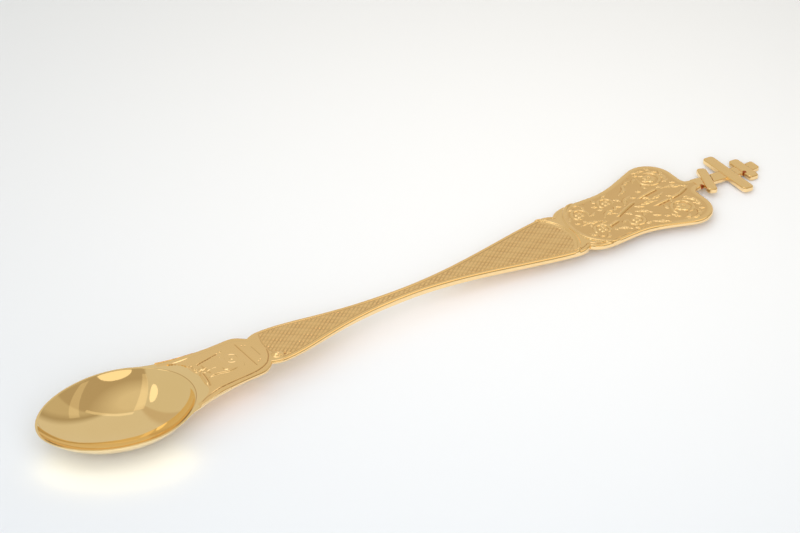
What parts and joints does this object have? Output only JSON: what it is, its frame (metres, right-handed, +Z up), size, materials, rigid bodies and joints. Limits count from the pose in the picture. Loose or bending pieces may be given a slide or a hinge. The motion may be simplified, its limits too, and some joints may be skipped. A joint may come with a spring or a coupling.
{
  "type": "communion spoon",
  "caption": "Gilt communion spoon with an egg-shaped bowl, an engraved shoulder, a chequered shank, a scrolled cartouche and a three-bar cross at its end.",
  "frame": {"origin": "middle of the spoon's length and width, on the table that it lies on", "axes": "+X along the spoon from the tip of the bowl to the top of the cross, +Z up from the table"},
  "size_m": [0.21, 0.0284, 0.009],
  "materials": {
    "polished_gilt": "polished gilding, worn a little along the rim",
    "satin_gilt": "satin gilding over engraved and chequered metal"
  },
  "bodies": {
    "root": {"bowl": "polished_gilt", "shoulder_plate": "satin_gilt", "shank": "satin_gilt", "cartouche": "satin_gilt", "cross_upright": "satin_gilt", "cross_long_bar": "satin_gilt", "cross_title_bar": "satin_gilt", "cross_foot_bar": "satin_gilt"}
  },
  "joints": []
}
